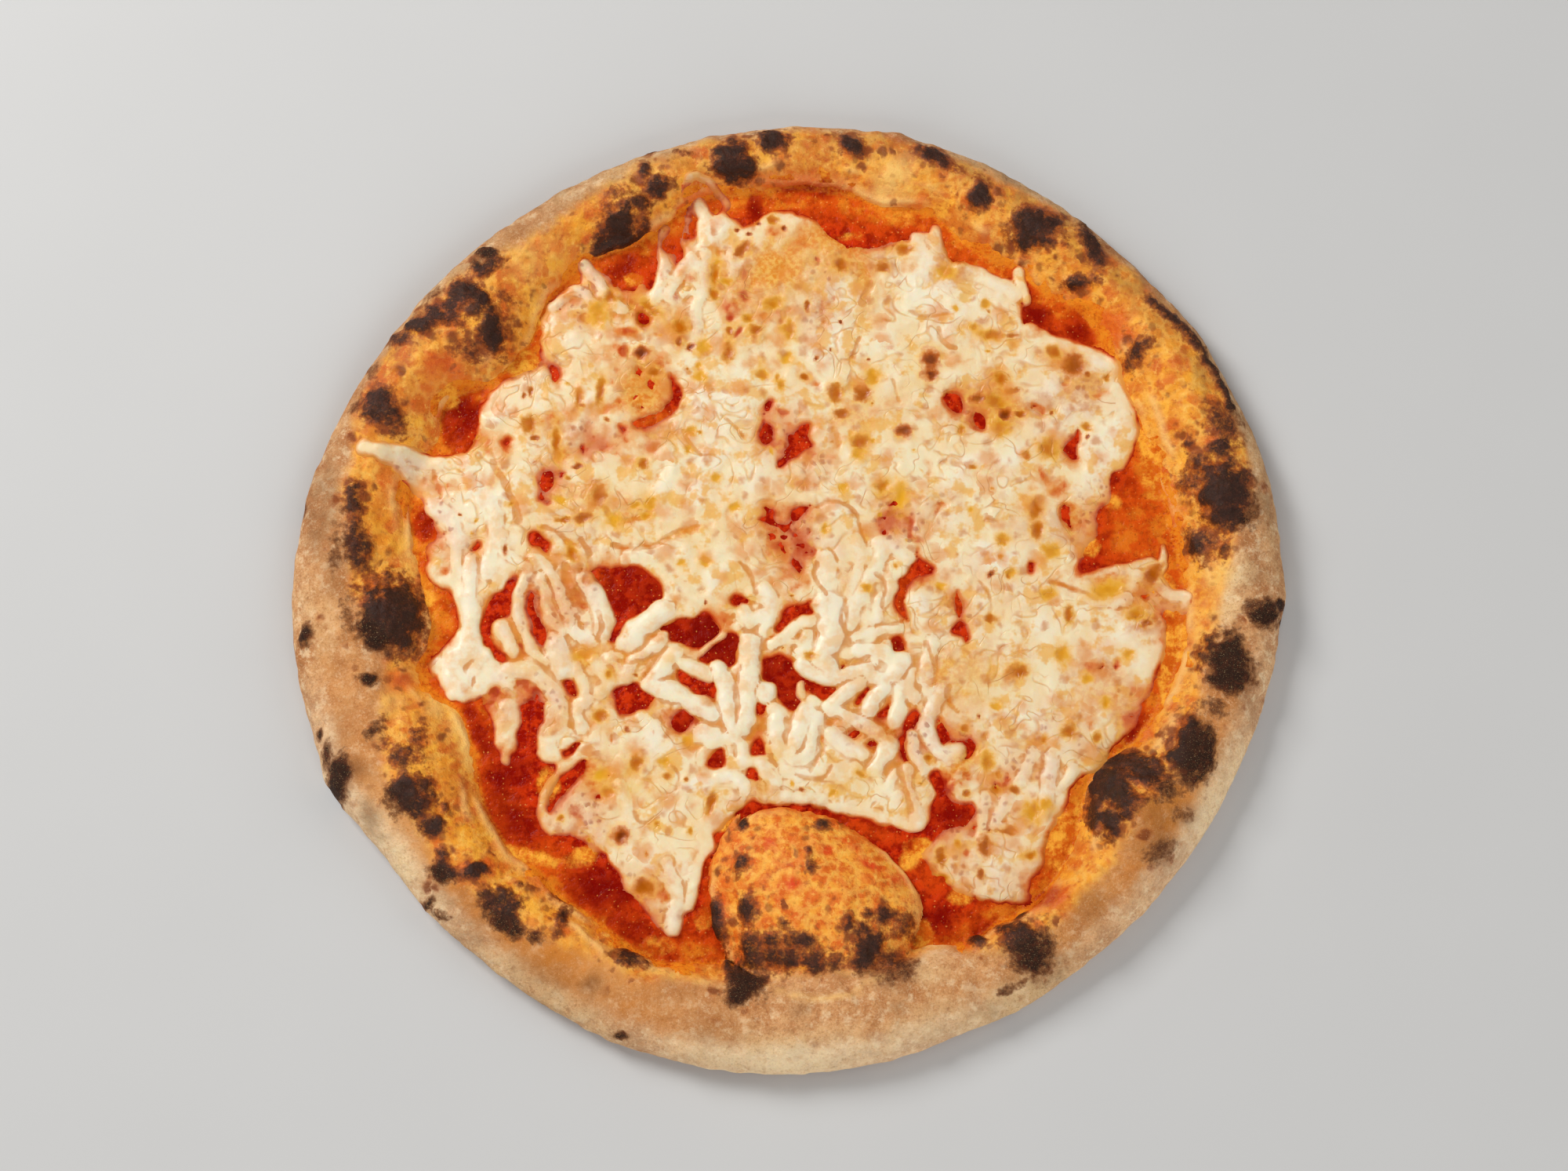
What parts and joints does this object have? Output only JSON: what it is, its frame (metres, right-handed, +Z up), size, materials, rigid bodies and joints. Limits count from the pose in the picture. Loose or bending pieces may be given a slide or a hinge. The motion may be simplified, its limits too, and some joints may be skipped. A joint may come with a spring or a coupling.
{
  "type": "cheese pizza",
  "caption": "Round whole cheese pizza, uncut: puffed, blistered and charred dough rim with one large bubble, tomato sauce and a melted cheese layer with openings where the sauce shows.",
  "frame": {"origin": "centre of the pizza's bounding box in plan, at the height of the surface it rests on", "axes": "+Z up, out of the topping; +X along the pizza's longest extent; +Y away from the large bubble on the rim"},
  "size_m": [0.3214, 0.311, 0.0219],
  "materials": {
    "crust": "dry baked dough, floury outside, golden inside the rim, charred on the blisters",
    "tomato_sauce": "wet and oily",
    "melted_cheese": "soft sheen, cream with golden pits"
  },
  "bodies": {
    "root": {"crust": "crust", "tomato_sauce": "tomato_sauce", "melted_cheese": "melted_cheese"}
  },
  "joints": []
}
